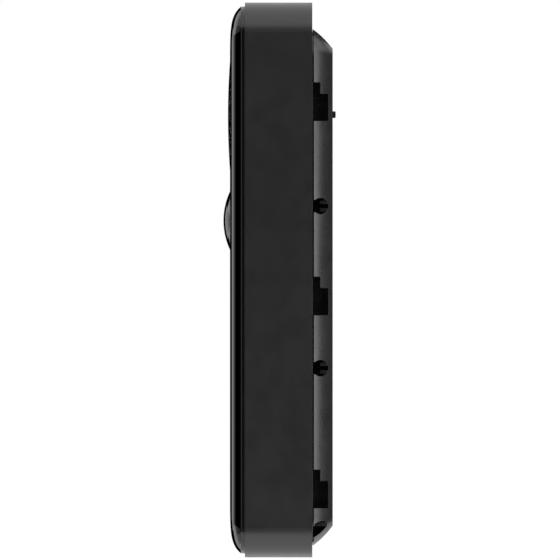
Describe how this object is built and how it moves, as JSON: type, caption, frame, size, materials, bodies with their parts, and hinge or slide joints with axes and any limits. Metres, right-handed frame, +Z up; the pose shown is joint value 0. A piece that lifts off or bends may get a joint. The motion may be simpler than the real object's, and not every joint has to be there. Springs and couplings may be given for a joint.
{
  "type": "video doorbell",
  "caption": "Slim battery video doorbell: gloss black front with camera window and domed call button, matte frame, sloped rear housing with bracket windows.",
  "frame": {"origin": "middle of the flat wall face on the back, half way up the outer frame", "axes": "+Z up, +Y into the wall, -Y the way the front looks, +X to the right seen from the front"},
  "size_m": [0.046, 0.0282, 0.1386],
  "materials": {
    "frame_plastic": "fine moulded texture, matte",
    "housing_plastic": "satin moulded",
    "cover_black": "polished",
    "carrier_black": "satin gloss",
    "plunger_black": "dull moulded",
    "window_glass": "polished, dark",
    "lens_glass": "coated",
    "filter_glass": "coated",
    "light_guide": "translucent",
    "sensor_window": "satin",
    "soft_rubber": "matte",
    "silicone": "matte",
    "chassis_plastic": "moulded",
    "lens_black": "flocked matte",
    "circuit_board": "solder mask",
    "chip_black": "moulded",
    "led_dome": "clear dark",
    "led_white": "phosphor",
    "flex_film": "film",
    "spring_steel": "drawn wire",
    "screw_steel": "zinc plated",
    "terminal_brass": "plated",
    "insert_brass": "turned",
    "shield_tin": "tinned",
    "connector_plastic": "moulded",
    "cell_wrap": "film",
    "lead_red": "insulation",
    "coil_copper": "enamelled",
    "cone_film": "film",
    "magnet_plate": "nickel plated",
    "mesh_steel": "woven"
  },
  "bodies": {
    "casing": {"outer_frame": "frame_plastic", "rear_housing": "housing_plastic", "front_cover": "cover_black", "front_carrier": "carrier_black", "front_seal": "soft_rubber", "housing_seal": "soft_rubber", "inner_chassis": "chassis_plastic", "camera_window": "window_glass", "window_gasket": "soft_rubber", "light_baffle": "lens_black", "front_lens": "lens_glass", "rear_lens": "lens_glass", "lens_barrel": "lens_black", "lens_holder": "lens_black", "ir_filter": "filter_glass", "image_sensor": "chip_black", "camera_board": "circuit_board", "ir_board": "circuit_board", "ir_leds": "led_dome", "camera_flex": "flex_film", "button_light_ring": "light_guide", "button_seal": "silicone", "button_switch": "chip_black", "ring_leds": "led_white", "front_board": "circuit_board", "pir_lens": "sensor_window", "pir_sensor": "magnet_plate", "microphone": "terminal_brass", "mic_boot": "soft_rubber", "mic_board": "circuit_board", "speaker_mesh": "mesh_steel", "speaker_gasket": "soft_rubber", "speaker_frame": "chassis_plastic", "speaker_cone": "cone_film", "voice_coil": "coil_copper", "speaker_magnet": "magnet_plate", "battery_pack": "cell_wrap", "battery_leads": "lead_red", "battery_connector": "connector_plastic", "main_board": "circuit_board", "board_connector": "connector_plastic", "shield_can": "shield_tin", "board_chips": "chip_black", "usb_socket": "shield_tin", "terminal_block": "connector_plastic", "terminal_screws": "terminal_brass", "terminal_washers": "screw_steel", "reset_switch": "chip_black", "tamper_switch": "chip_black", "security_insert": "insert_brass", "housing_screws": "screw_steel", "chassis_screws": "screw_steel", "board_screws": "screw_steel"},
    "button": {"button_cap": "cover_black", "button_spring": "spring_steel", "switch_plunger": "connector_plastic"},
    "usb_flap": {"usb_cover": "soft_rubber"},
    "reset": {"reset_button": "chassis_plastic"},
    "tamper": {"tamper_plunger": "plunger_black", "tamper_spring": "spring_steel"}
  },
  "joints": [
    {"name": "button_press", "type": "slide", "parent": "casing", "child": "button", "axis": [0, 1, 0], "range_m": [0, 0.0008], "stiffness_N_per_m": 1500, "springref_m": -0.0005},
    {"name": "tamper_press", "type": "slide", "parent": "casing", "child": "tamper", "axis": [0, -1, 0], "range_m": [0, 0.0008], "stiffness_N_per_m": 400, "springref_m": -0.0005},
    {"name": "reset_press", "type": "slide", "parent": "casing", "child": "reset", "axis": [0, -1, 0], "range_m": [0, 0.0004], "stiffness_N_per_m": 1200, "springref_m": -0.0003},
    {"name": "flap_turn", "type": "hinge", "parent": "casing", "child": "usb_flap", "pos_m": [0.0083, -0.00048, -0.006], "axis": [0, 0, -1], "range_deg": [0, 120]}
  ]
}
